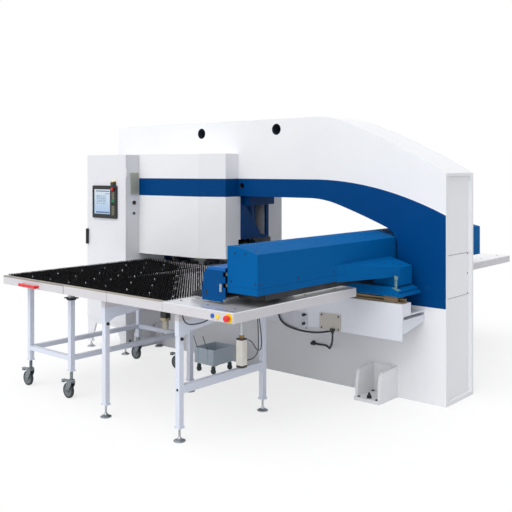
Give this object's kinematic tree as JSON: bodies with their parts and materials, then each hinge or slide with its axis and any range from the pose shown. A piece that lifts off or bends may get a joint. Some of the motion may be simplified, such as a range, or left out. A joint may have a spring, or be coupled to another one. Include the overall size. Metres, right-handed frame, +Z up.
{
  "type": "cnc turret punch press",
  "caption": "Bridge-frame turret punch press with twin turrets, arched throat, cross beam with sheet clamps, brush tables, front cart and control cabinet.",
  "frame": {"origin": "on the floor under the punch axis, in the middle plane of the bridge frame", "axes": "+Z up, +X along the cross beam towards the operator's table, +Y from the turrets towards the rear column"},
  "size_m": [4.383, 3.97, 2.32],
  "materials": {
    "frame_paint": "satin enamel",
    "deep_blue_paint": "satin enamel",
    "beam_paint": "satin enamel",
    "cabinet_paint": "powder coat",
    "table_paint": "powder coat",
    "leg_paint": "powder coat",
    "bin_paint": "powder coat",
    "red_paint": "gloss enamel",
    "turret_steel": "ground",
    "tool_steel": "blackened",
    "rail_steel": "oiled",
    "zinc_steel": "zinc plated",
    "black_steel": "blackened",
    "ball_steel": "polished",
    "brush_fibre": "bristles",
    "panel_plastic": "satin",
    "dark_plastic": "satin",
    "red_plastic": "gloss",
    "blue_plastic": "gloss",
    "yellow_plastic": "gloss",
    "grey_wheel": "moulded",
    "cylinder_alloy": "anodised",
    "cord_black": "moulded"
  },
  "bodies": {
    "machine": {"near_side_plate": "frame_paint", "far_side_plate": "frame_paint", "frame_cross_plates": "frame_paint", "rear_service_panel": "frame_paint", "floor_brackets": "frame_paint", "anchor_bolts": "black_steel", "turret_covers": "frame_paint", "ram_cylinder": "deep_blue_paint", "cabinet_body": "cabinet_paint", "cabinet_stand": "cabinet_paint", "vent_grille": "panel_plastic", "levelling_feet": "zinc_steel", "table_frames": "table_paint", "leg_frames": "leg_paint", "table_plates": "table_paint", "table_brushes": "brush_fibre", "ball_units": "ball_steel", "centre_tables": "table_paint", "rail_supports": "frame_paint", "y_rails": "rail_steel", "cover_plates": "dark_plastic", "filter_regulator": "dark_plastic", "air_cylinder": "cylinder_alloy", "scrap_bin": "bin_paint", "cart_frame": "leg_paint", "cart_handle": "red_paint", "upper_conduit": "cord_black", "lower_conduit": "cord_black", "upper_hose": "cord_black", "lower_hose": "cord_black", "table_cable": "cord_black"},
    "beam": {"y_beam": "beam_paint", "beam_carriers": "beam_paint"},
    "carriage": {"carriage": "tool_steel", "carriage_guard": "beam_paint"},
    "upper_turret": {"upper_turret": "turret_steel", "punch_holders": "tool_steel"},
    "lower_turret": {"lower_turret": "turret_steel", "die_holders": "tool_steel"},
    "ram": {"ram": "tool_steel"},
    "door": {"cabinet_door": "cabinet_paint", "cnc_panel": "panel_plastic"},
    "door_handle": {"door_handle": "black_steel"},
    "isolator_knob": {"isolator_knob": "dark_plastic"},
    "panel_estop": {"panel_estop": "red_plastic"},
    "blue_button": {"blue_button": "blue_plastic"},
    "yellow_button": {"yellow_button": "yellow_plastic"},
    "table_estop": {"table_estop": "red_plastic"},
    "stop_pin": {"stop_pin": "zinc_steel"},
    "clamp_jaw_1": {"clamp_jaw_1": "tool_steel"},
    "clamp_jaw_2": {"clamp_jaw_2": "tool_steel"},
    "clamp_jaw_3": {"clamp_jaw_3": "tool_steel"},
    "caster_fork_1": {"caster_fork_1": "zinc_steel"},
    "caster_wheel_1": {"caster_wheel_1": "grey_wheel"},
    "caster_fork_2": {"caster_fork_2": "zinc_steel"},
    "caster_wheel_2": {"caster_wheel_2": "grey_wheel"},
    "caster_fork_3": {"caster_fork_3": "zinc_steel"},
    "caster_wheel_3": {"caster_wheel_3": "grey_wheel"},
    "caster_fork_4": {"caster_fork_4": "zinc_steel"},
    "caster_wheel_4": {"caster_wheel_4": "grey_wheel"}
  },
  "joints": [
    {"name": "beam_slide", "type": "slide", "parent": "machine", "child": "beam", "axis": [0, -1, 0], "range_m": [0, 1.04]},
    {"name": "carriage_slide", "type": "slide", "parent": "beam", "child": "carriage", "axis": [-1, 0, 0], "range_m": [0, 2.5]},
    {"name": "clamp_hinge_1", "type": "hinge", "parent": "carriage", "child": "clamp_jaw_1", "pos_m": [1.288, 1.33, 0.996], "axis": [-1, 0, 0], "range_deg": [0, 8]},
    {"name": "clamp_hinge_2", "type": "hinge", "parent": "carriage", "child": "clamp_jaw_2", "pos_m": [1.588, 1.33, 0.996], "axis": [-1, 0, 0], "range_deg": [0, 8]},
    {"name": "clamp_hinge_3", "type": "hinge", "parent": "carriage", "child": "clamp_jaw_3", "pos_m": [1.888, 1.33, 0.996], "axis": [-1, 0, 0], "range_deg": [0, 8]},
    {"name": "lower_turret_turn", "type": "hinge", "parent": "machine", "child": "lower_turret", "pos_m": [0, -0.407, 0.89], "axis": [0, 0, 1], "continuous": true},
    {"name": "upper_turret_turn", "type": "hinge", "parent": "machine", "child": "upper_turret", "pos_m": [0, -0.407, 1.048], "axis": [0, 0, 1], "continuous": true},
    {"name": "ram_slide", "type": "slide", "parent": "machine", "child": "ram", "axis": [0, 0, -1], "range_m": [0, 0.04]},
    {"name": "door_hinge", "type": "hinge", "parent": "machine", "child": "door", "pos_m": [0.757, -0.886, 1.15], "axis": [0, 0, 1], "range_deg": [0, 90]},
    {"name": "door_handle_turn", "type": "hinge", "parent": "door", "child": "door_handle", "pos_m": [0.775, -1.496, 1.225], "axis": [1, 0, 0], "range_deg": [0, 90]},
    {"name": "isolator_turn", "type": "hinge", "parent": "machine", "child": "isolator_knob", "pos_m": [0.66, -0.88, 1.521], "axis": [0, 1, 0], "range_deg": [0, 90]},
    {"name": "panel_estop_press", "type": "slide", "parent": "door", "child": "panel_estop", "axis": [-1, 0, 0], "range_m": [0, 0.006], "stiffness_N_per_m": 400},
    {"name": "blue_button_press", "type": "slide", "parent": "machine", "child": "blue_button", "axis": [-1, 0, 0], "range_m": [0, 0.004], "stiffness_N_per_m": 400},
    {"name": "yellow_button_press", "type": "slide", "parent": "machine", "child": "yellow_button", "axis": [-1, 0, 0], "range_m": [0, 0.004], "stiffness_N_per_m": 400},
    {"name": "table_estop_press", "type": "slide", "parent": "machine", "child": "table_estop", "axis": [-1, 0, 0], "range_m": [0, 0.006], "stiffness_N_per_m": 400},
    {"name": "stop_pin_rise", "type": "slide", "parent": "machine", "child": "stop_pin", "axis": [0, 0, 1], "range_m": [0, 0.03]},
    {"name": "caster_swivel_1", "type": "hinge", "parent": "machine", "child": "caster_fork_1", "pos_m": [1.997, -0.662, 0.2], "axis": [0, 0, 1], "continuous": true},
    {"name": "caster_roll_1", "type": "hinge", "parent": "caster_fork_1", "child": "caster_wheel_1", "pos_m": [1.997, -0.7, 0.0625], "axis": [1, 0, 0], "continuous": true},
    {"name": "caster_swivel_2", "type": "hinge", "parent": "machine", "child": "caster_fork_2", "pos_m": [1.997, -0.086, 0.2], "axis": [0, 0, 1], "continuous": true},
    {"name": "caster_roll_2", "type": "hinge", "parent": "caster_fork_2", "child": "caster_wheel_2", "pos_m": [1.997, -0.124, 0.0625], "axis": [1, 0, 0], "continuous": true},
    {"name": "caster_swivel_3", "type": "hinge", "parent": "machine", "child": "caster_fork_3", "pos_m": [0.791, -0.662, 0.2], "axis": [0, 0, 1], "continuous": true},
    {"name": "caster_roll_3", "type": "hinge", "parent": "caster_fork_3", "child": "caster_wheel_3", "pos_m": [0.791, -0.7, 0.0625], "axis": [1, 0, 0], "continuous": true},
    {"name": "caster_swivel_4", "type": "hinge", "parent": "machine", "child": "caster_fork_4", "pos_m": [0.791, -0.086, 0.2], "axis": [0, 0, 1], "continuous": true},
    {"name": "caster_roll_4", "type": "hinge", "parent": "caster_fork_4", "child": "caster_wheel_4", "pos_m": [0.791, -0.124, 0.0625], "axis": [1, 0, 0], "continuous": true}
  ],
  "couplings": [
    {"joint": "clamp_hinge_2", "follows": "clamp_hinge_1", "ratio": 1},
    {"joint": "clamp_hinge_3", "follows": "clamp_hinge_1", "ratio": 1},
    {"joint": "upper_turret_turn", "follows": "lower_turret_turn", "ratio": 1}
  ]
}
